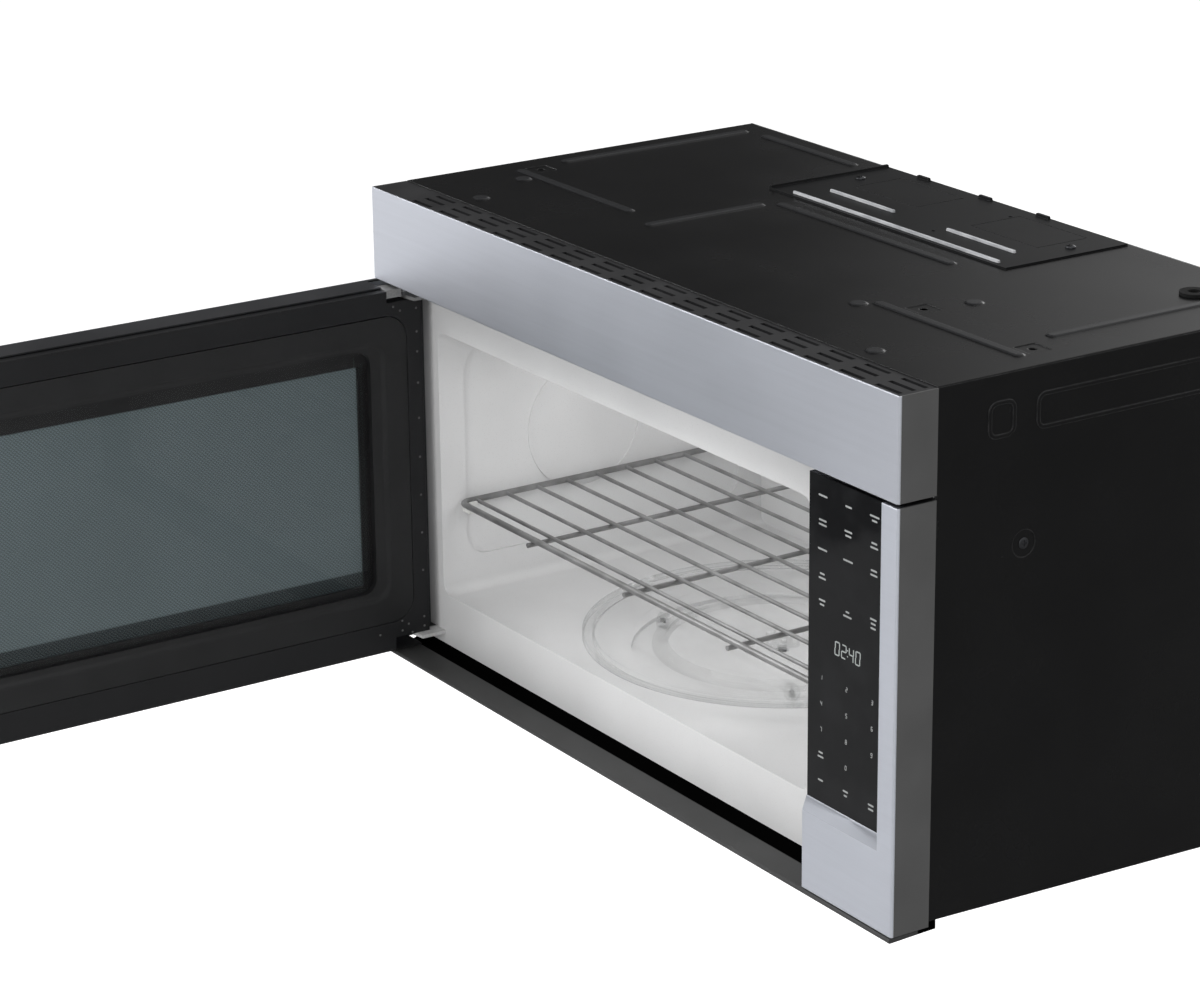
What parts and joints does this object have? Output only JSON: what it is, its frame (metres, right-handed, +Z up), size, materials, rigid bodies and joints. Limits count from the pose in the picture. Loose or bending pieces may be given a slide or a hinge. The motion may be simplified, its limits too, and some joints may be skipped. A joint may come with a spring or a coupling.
{
  "type": "over the range microwave",
  "caption": "Over-the-range microwave oven with its left-hinged door open at a right angle, a wire rack, a glass turntable tray and a touch control panel at the right.",
  "frame": {"origin": "centre of the flat rear panel that lies against the wall, 220 mm below the top of the fascia", "axes": "+X to the viewer's right along the front, +Y in to the wall, +Z up"},
  "size_m": [0.8127, 1.017, 0.4419],
  "materials": {
    "case_top_panel": "satin",
    "case_left_panel": "satin",
    "case_right_panel": "satin",
    "rear_panel": "satin",
    "base_pan": "satin",
    "grease_filter_left": "matte",
    "grease_filter_right": "matte",
    "cooktop_lamp_lenses": "polished",
    "cooktop_lamps": "matte",
    "base_front_trim": "satin",
    "top_fascia": "satin",
    "control_panel_frame": "satin",
    "trim_end_caps": "matte",
    "vent_grille": "matte",
    "charcoal_filter": "matte",
    "control_glass": "polished",
    "control_chassis": "matte",
    "control_board": "satin",
    "display_module": "matte",
    "oven_cavity": "satin",
    "waveguide_cover": "matte",
    "wire_rack": "polished",
    "rack_supports": "matte",
    "glass_tray": "polished",
    "turntable_coupler": "satin",
    "turntable_motor": "satin",
    "roller_ring": "satin",
    "roller_1": "satin",
    "roller_2": "satin",
    "roller_3": "satin",
    "door_frame": "satin",
    "door_outer_glass": "polished",
    "door_inner_panel": "satin",
    "mesh_screen": "satin",
    "choke_cover": "matte",
    "door_inner_glass": "polished",
    "door_handle": "satin",
    "hinge_plates": "satin",
    "hinge_pins": "satin",
    "upper_hinge_bracket": "satin",
    "latch_hooks": "matte",
    "latch_guides": "matte",
    "latch_spring": "satin",
    "latch_housing": "matte",
    "interlock_switches": "matte",
    "switch_plungers": "matte",
    "component_tray": "satin",
    "waveguide": "satin",
    "magnetron": "satin",
    "hv_transformer": "satin",
    "hv_capacitor": "satin",
    "cooling_fan_shroud": "matte",
    "cooling_fan_motor": "satin",
    "cooling_fan_blades": "matte",
    "blower_housing": "satin",
    "blower_motor": "satin",
    "blower_rotor": "matte",
    "exhaust_cover": "satin",
    "cord_grommet": "matte",
    "case_screws": "satin"
  },
  "bodies": {
    "chassis": {"case_top_panel": "case_top_panel", "case_left_panel": "case_left_panel", "case_right_panel": "case_right_panel", "rear_panel": "rear_panel", "base_pan": "base_pan", "cooktop_lamp_lenses": "cooktop_lamp_lenses", "cooktop_lamps": "cooktop_lamps", "base_front_trim": "base_front_trim", "top_fascia": "top_fascia", "control_panel_frame": "control_panel_frame", "trim_end_caps": "trim_end_caps", "vent_grille": "vent_grille", "charcoal_filter": "charcoal_filter", "control_glass": "control_glass", "control_chassis": "control_chassis", "control_board": "control_board", "display_module": "display_module", "oven_cavity": "oven_cavity", "waveguide_cover": "waveguide_cover", "rack_supports": "rack_supports", "turntable_motor": "turntable_motor", "hinge_plates": "hinge_plates", "hinge_pins": "hinge_pins", "latch_housing": "latch_housing", "interlock_switches": "interlock_switches", "component_tray": "component_tray", "waveguide": "waveguide", "magnetron": "magnetron", "hv_transformer": "hv_transformer", "hv_capacitor": "hv_capacitor", "cooling_fan_shroud": "cooling_fan_shroud", "cooling_fan_motor": "cooling_fan_motor", "blower_housing": "blower_housing", "blower_motor": "blower_motor", "exhaust_cover": "exhaust_cover", "cord_grommet": "cord_grommet", "case_screws": "case_screws"},
    "door": {"door_frame": "door_frame", "door_outer_glass": "door_outer_glass", "door_inner_panel": "door_inner_panel", "mesh_screen": "mesh_screen", "choke_cover": "choke_cover", "door_inner_glass": "door_inner_glass", "door_handle": "door_handle", "upper_hinge_bracket": "upper_hinge_bracket", "latch_guides": "latch_guides", "latch_spring": "latch_spring"},
    "latch": {"latch_hooks": "latch_hooks"},
    "turntable_drive": {"turntable_coupler": "turntable_coupler"},
    "tray": {"glass_tray": "glass_tray"},
    "roller_ring": {"roller_ring": "roller_ring"},
    "roller_1": {"roller_1": "roller_1"},
    "roller_2": {"roller_2": "roller_2"},
    "roller_3": {"roller_3": "roller_3"},
    "rack": {"wire_rack": "wire_rack"},
    "blower": {"blower_rotor": "blower_rotor"},
    "cooling_fan": {"cooling_fan_blades": "cooling_fan_blades"},
    "plungers": {"switch_plungers": "switch_plungers"},
    "filter_left": {"grease_filter_left": "grease_filter_left"},
    "filter_right": {"grease_filter_right": "grease_filter_right"}
  },
  "joints": [
    {"name": "door_hinge", "type": "hinge", "parent": "chassis", "child": "door", "pos_m": [-0.3651, -0.3884, -0.037], "axis": [0, 0, -1], "range_deg": [-90, 15]},
    {"name": "latch_slide", "type": "slide", "parent": "door", "child": "latch", "axis": [0, 0, 1], "range_m": [-0.003, 0], "stiffness_N_per_m": 400, "springref_m": 0.004, "deforming": ["latch_spring"]},
    {"name": "turntable_spin", "type": "hinge", "parent": "chassis", "child": "turntable_drive", "pos_m": [-0.0615, -0.192, -0.1563], "axis": [0, 0, 1], "continuous": true},
    {"name": "tray_lift", "type": "slide", "parent": "turntable_drive", "child": "tray", "axis": [0, 0, 1], "range_m": [0, 0.01]},
    {"name": "roller_ring_spin", "type": "hinge", "parent": "chassis", "child": "roller_ring", "pos_m": [-0.0615, -0.192, -0.1563], "axis": [0, 0, 1], "continuous": true},
    {"name": "roller_1_spin", "type": "hinge", "parent": "roller_ring", "child": "roller_1", "pos_m": [0.03832, -0.25437, -0.1563], "axis": [0.848, -0.5299, 0], "continuous": true},
    {"name": "roller_2_spin", "type": "hinge", "parent": "roller_ring", "child": "roller_2", "pos_m": [-0.05739, -0.07437, -0.1563], "axis": [0.0349, 0.9994, 0], "continuous": true},
    {"name": "roller_3_spin", "type": "hinge", "parent": "roller_ring", "child": "roller_3", "pos_m": [-0.16542, -0.24726, -0.1563], "axis": [-0.8829, -0.4695, 0], "continuous": true},
    {"name": "rack_lift", "type": "slide", "parent": "chassis", "child": "rack", "axis": [0, 0, 1], "range_m": [0, 0.012]},
    {"name": "blower_spin", "type": "hinge", "parent": "chassis", "child": "blower", "pos_m": [0, -0.075, 0.148], "axis": [1, 0, 0], "continuous": true},
    {"name": "cooling_fan_spin", "type": "hinge", "parent": "chassis", "child": "cooling_fan", "pos_m": [0.29765, -0.048, -0.005], "axis": [0, 1, 0], "continuous": true},
    {"name": "plunger_press", "type": "slide", "parent": "chassis", "child": "plungers", "axis": [0, 1, 0], "range_m": [0, 0.0015], "stiffness_N_per_m": 800, "springref_m": -0.001},
    {"name": "filter_left_slide", "type": "slide", "parent": "chassis", "child": "filter_left", "axis": [-1, 0, 0], "range_m": [0, 0.008]},
    {"name": "filter_right_slide", "type": "slide", "parent": "chassis", "child": "filter_right", "axis": [1, 0, 0], "range_m": [0, 0.008]}
  ],
  "couplings": [
    {"joint": "roller_ring_spin", "follows": "turntable_spin", "ratio": 0.5},
    {"joint": "roller_1_spin", "follows": "turntable_spin", "ratio": -8.4071},
    {"joint": "roller_2_spin", "follows": "turntable_spin", "ratio": -8.4071},
    {"joint": "roller_3_spin", "follows": "turntable_spin", "ratio": -8.4071}
  ]
}
